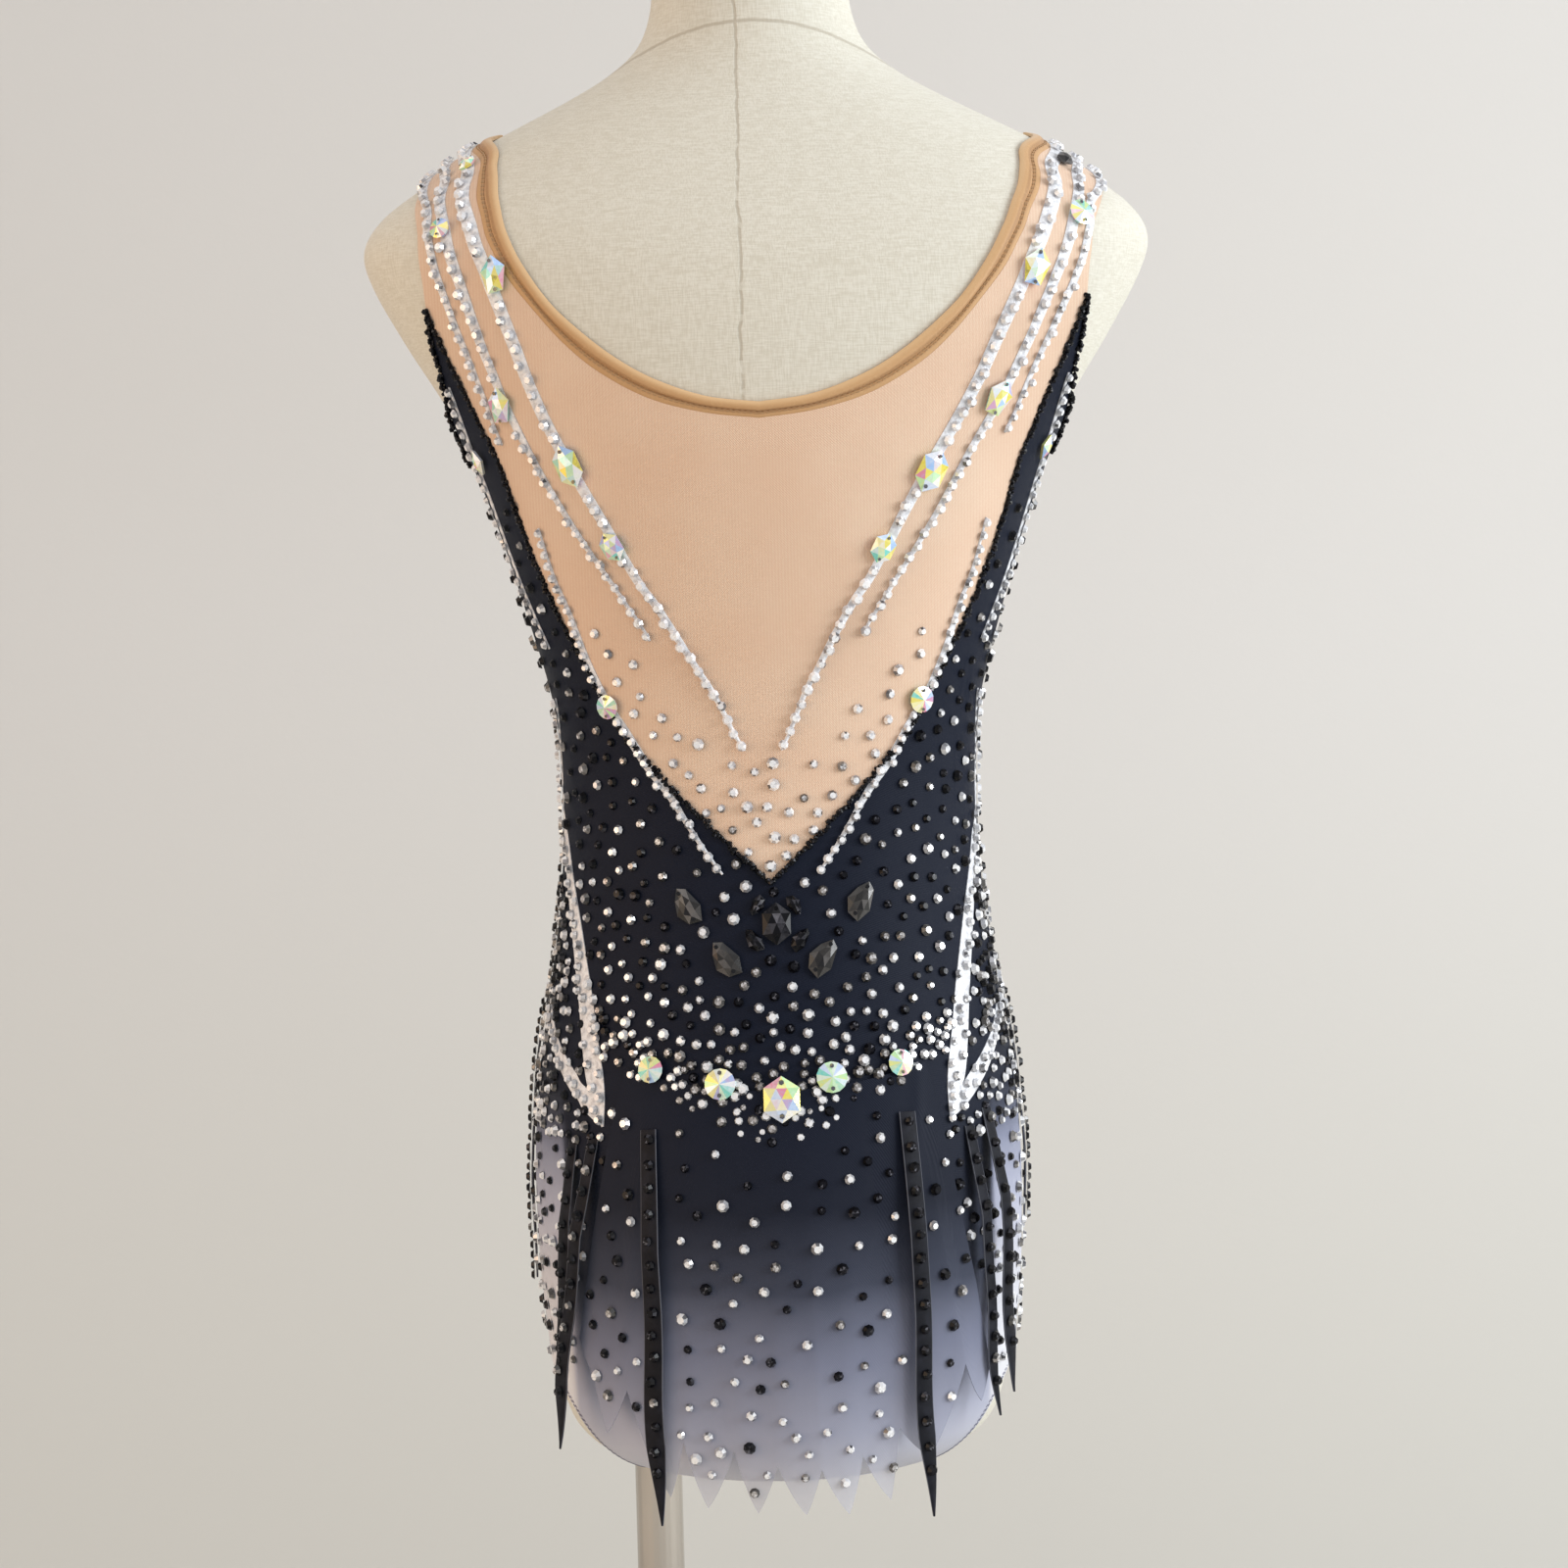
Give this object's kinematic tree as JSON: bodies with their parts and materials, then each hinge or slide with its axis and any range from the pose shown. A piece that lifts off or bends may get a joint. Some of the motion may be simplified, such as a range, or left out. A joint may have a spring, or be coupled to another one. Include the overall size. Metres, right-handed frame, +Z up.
{
  "type": "rhythmic gymnastics leotard on a limbless dress form",
  "caption": "Sleeveless rhythmic gymnastics leotard with a nude mesh V back, crystal bands and ombre skirt points, worn by a linen dress form on a stand.",
  "frame": {"origin": "centre of the underside of the stand's round base", "axes": "+Z up through the neck, -Y towards the side in the picture, which is the wearer's back, +X to the picture's right"},
  "size_m": [0.38, 0.38, 1.008],
  "materials": {
    "form_linen": "matt cream linen weave over a rigid shell",
    "chrome": "polished tube",
    "base_steel": "satin",
    "nude_mesh": "fine stretch power mesh, skin coloured",
    "tan_binding": "folded stretch binding with twin stitching",
    "black_lycra": "matt stretch lycra, fading to grey lavender towards the legs",
    "silver_applique": "silvery white satin covered with crystals",
    "ombre_mesh": "translucent mesh fading from black to grey lavender",
    "black_ribbon": "cut stretch strips with small jet stones",
    "aurora_crystal": "faceted, iridescent coating",
    "smoke_crystal": "faceted smoky grey and jet"
  },
  "bodies": {
    "root": {"form_torso": "form_linen", "form_neck_cap": "form_linen", "form_pole": "chrome", "form_socket": "base_steel", "form_base": "base_steel", "neck_binding_back": "tan_binding", "back_yoke": "nude_mesh", "back_body": "black_lycra", "skirt_back": "ombre_mesh", "neck_binding_front": "tan_binding", "front_yoke": "nude_mesh", "front_body": "black_lycra", "skirt_front": "ombre_mesh", "gusset": "ombre_mesh", "band_inner_left": "silver_applique", "band_inner_right": "silver_applique", "band_middle_left": "silver_applique", "band_middle_right": "silver_applique", "band_outer_left": "silver_applique", "band_outer_right": "silver_applique", "flash_arm_left": "silver_applique", "flash_arm_right": "silver_applique", "flash_v_left": "silver_applique", "flash_v_right": "silver_applique", "flash_hip_inner_left": "silver_applique", "flash_hip_inner_right": "silver_applique", "flash_hip_outer_left": "silver_applique", "flash_hip_outer_right": "silver_applique", "ribbon_left_outer": "black_ribbon", "ribbon_left_inner": "black_ribbon", "ribbon_back_left": "black_ribbon", "ribbon_back_right": "black_ribbon", "ribbon_right_inner": "black_ribbon", "ribbon_right_outer": "black_ribbon", "ribbon_front_left": "black_ribbon", "ribbon_front_right": "black_ribbon", "ribbon_left_side": "black_ribbon", "ribbon_right_side": "black_ribbon", "stone_belt_far_left": "aurora_crystal", "stone_belt_left": "aurora_crystal", "stone_belt_centre": "aurora_crystal", "stone_belt_right": "aurora_crystal", "stone_belt_far_right": "aurora_crystal", "stone_smoke_upper_left": "smoke_crystal", "stone_smoke_upper_right": "smoke_crystal", "stone_smoke_lower_left": "smoke_crystal", "stone_smoke_lower_right": "smoke_crystal", "stone_jet_centre": "smoke_crystal"}
  },
  "joints": []
}
